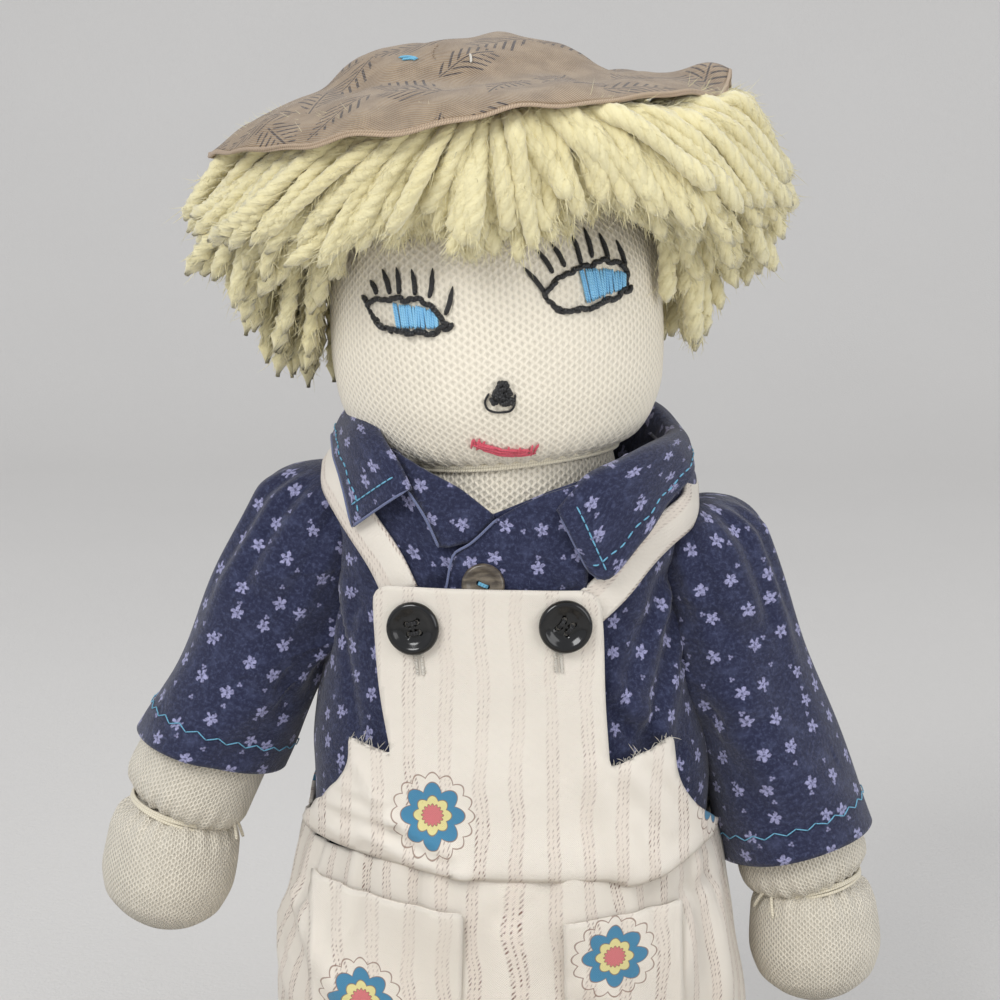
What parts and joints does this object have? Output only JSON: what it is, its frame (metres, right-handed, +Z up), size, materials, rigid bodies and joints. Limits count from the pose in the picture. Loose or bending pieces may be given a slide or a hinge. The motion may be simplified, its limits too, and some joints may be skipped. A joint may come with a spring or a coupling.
{
  "type": "rag doll",
  "caption": "Stuffed knit rag doll with stitched face, yarn wig, floppy cloth hat, shirt and bib overalls, sitting with its legs out. Head, arms, hands, legs and feet turn on their seams.",
  "frame": {"origin": "middle of the flat under the seat of the overalls, on the surface that the doll sits on", "axes": "+Z up, -Y the way the doll faces, -X the side that is on the left as seen from the front"},
  "size_m": [0.3196, 0.4319, 0.4654],
  "materials": {
    "knit": "cream cotton knit with columns of fine holes",
    "stuffing": "white polyester wadding",
    "yarn": "pale yellow fuzzy four-ply wool yarn",
    "cord": "cream cotton string",
    "black_thread": "black embroidery floss, satin stitch",
    "blue_thread": "bright blue embroidery floss",
    "pink_thread": "pinkish red embroidery floss",
    "flannel": "napped navy cotton flannel with a small lilac flower",
    "hat_twill": "taupe cotton twill with brown dashes",
    "overall_cotton": "cream printed cotton with broken brown stripes",
    "black_button": "polished black resin",
    "brown_button": "glossy grey-brown resin"
  },
  "bodies": {
    "body": {"back_panel": "overall_cotton", "bib_button_left": "black_button", "bib_button_right": "black_button", "bib_panel": "overall_cotton", "pocket_left": "overall_cotton", "pocket_right": "overall_cotton", "shirt_body": "flannel", "shirt_button": "brown_button", "shirt_collar_left": "flannel", "shirt_collar_right": "flannel", "strap_left": "overall_cotton", "strap_right": "overall_cotton", "torso_skin": "knit", "torso_stuffing": "stuffing", "trousers_seat": "overall_cotton"},
    "neck": {"neck": "knit"},
    "head": {"head_skin": "knit", "head_stuffing": "stuffing", "neck_tie": "cord", "eye_outline_left": "black_thread", "eye_outline_right": "black_thread", "iris_left": "blue_thread", "iris_right": "blue_thread", "nose": "black_thread", "mouth": "pink_thread", "hair_front": "yarn", "hair_back": "yarn", "hair_left": "yarn", "hair_right": "yarn", "hat_crown": "hat_twill", "hat_brim": "hat_twill", "hat_binding": "hat_twill"},
    "shoulder_left": {"shoulder_stitches_left": "cord"},
    "arm_left": {"arm_skin_left": "knit", "arm_stuffing_left": "stuffing", "shirt_sleeve_left": "flannel", "wrist_tie_left": "cord"},
    "hand_left": {"hand_skin_left": "knit", "hand_stuffing_left": "stuffing"},
    "shoulder_right": {"shoulder_stitches_right": "cord"},
    "arm_right": {"arm_skin_right": "knit", "arm_stuffing_right": "stuffing", "shirt_sleeve_right": "flannel", "wrist_tie_right": "cord"},
    "hand_right": {"hand_skin_right": "knit", "hand_stuffing_right": "stuffing"},
    "hip_left": {"hip_stitches_left": "cord"},
    "leg_left": {"leg_skin_left": "knit", "leg_stuffing_left": "stuffing", "trouser_leg_left": "overall_cotton", "ankle_tie_left": "cord"},
    "foot_left": {"foot_skin_left": "knit", "foot_stuffing_left": "stuffing"},
    "hip_right": {"hip_stitches_right": "cord"},
    "leg_right": {"leg_skin_right": "knit", "leg_stuffing_right": "stuffing", "trouser_leg_right": "overall_cotton", "ankle_tie_right": "cord"},
    "foot_right": {"foot_skin_right": "knit", "foot_stuffing_right": "stuffing"}
  },
  "joints": [
    {"name": "neck_turn", "type": "hinge", "parent": "body", "child": "neck", "pos_m": [0, 0, 0.29], "axis": [0, 0, 1], "range_deg": [-75, 75]},
    {"name": "head_nod", "type": "hinge", "parent": "neck", "child": "head", "pos_m": [0, 0, 0.29], "axis": [1, 0, 0], "range_deg": [-6, 10]},
    {"name": "arm_swing_left", "type": "hinge", "parent": "body", "child": "shoulder_left", "pos_m": [-0.078, 0, 0.265], "axis": [-1, 0, 0], "range_deg": [-60, 100]},
    {"name": "arm_lift_left", "type": "hinge", "parent": "shoulder_left", "child": "arm_left", "pos_m": [-0.078, 0, 0.265], "axis": [0, 1, 0], "range_deg": [0, 90]},
    {"name": "wrist_left", "type": "hinge", "parent": "arm_left", "child": "hand_left", "pos_m": [-0.1352, 0, 0.15273], "axis": [-1, 0, 0], "range_deg": [-20, 20]},
    {"name": "arm_swing_right", "type": "hinge", "parent": "body", "child": "shoulder_right", "pos_m": [0.078, 0, 0.253], "axis": [-1, 0, 0], "range_deg": [-60, 100]},
    {"name": "arm_lift_right", "type": "hinge", "parent": "shoulder_right", "child": "arm_right", "pos_m": [0.078, 0, 0.253], "axis": [0, -1, 0], "range_deg": [0, 90]},
    {"name": "wrist_right", "type": "hinge", "parent": "arm_right", "child": "hand_right", "pos_m": [0.12406, 0, 0.12291], "axis": [-1, 0, 0], "range_deg": [-20, 20]},
    {"name": "hip_spread_left", "type": "hinge", "parent": "body", "child": "hip_left", "pos_m": [-0.05, -0.024, 0.0424], "axis": [0, 0, -1], "range_deg": [-9, 16]},
    {"name": "leg_swing_left", "type": "hinge", "parent": "hip_left", "child": "leg_left", "pos_m": [-0.05, -0.024, 0.0424], "axis": [0.9877, -0.1564, 0], "range_deg": [-15, 90]},
    {"name": "ankle_left", "type": "hinge", "parent": "leg_left", "child": "foot_left", "pos_m": [-0.08754, -0.26105, 0.0424], "axis": [0.9877, -0.1564, 0], "range_deg": [-10, 25]},
    {"name": "hip_spread_right", "type": "hinge", "parent": "body", "child": "hip_right", "pos_m": [0.05, -0.024, 0.0424], "axis": [0, 0, 1], "range_deg": [-9, 16]},
    {"name": "leg_swing_right", "type": "hinge", "parent": "hip_right", "child": "leg_right", "pos_m": [0.05, -0.024, 0.0424], "axis": [0.9877, 0.1564, 0], "range_deg": [-15, 90]},
    {"name": "ankle_right", "type": "hinge", "parent": "leg_right", "child": "foot_right", "pos_m": [0.08754, -0.26105, 0.0424], "axis": [0.9877, 0.1564, 0], "range_deg": [-10, 25]}
  ]
}
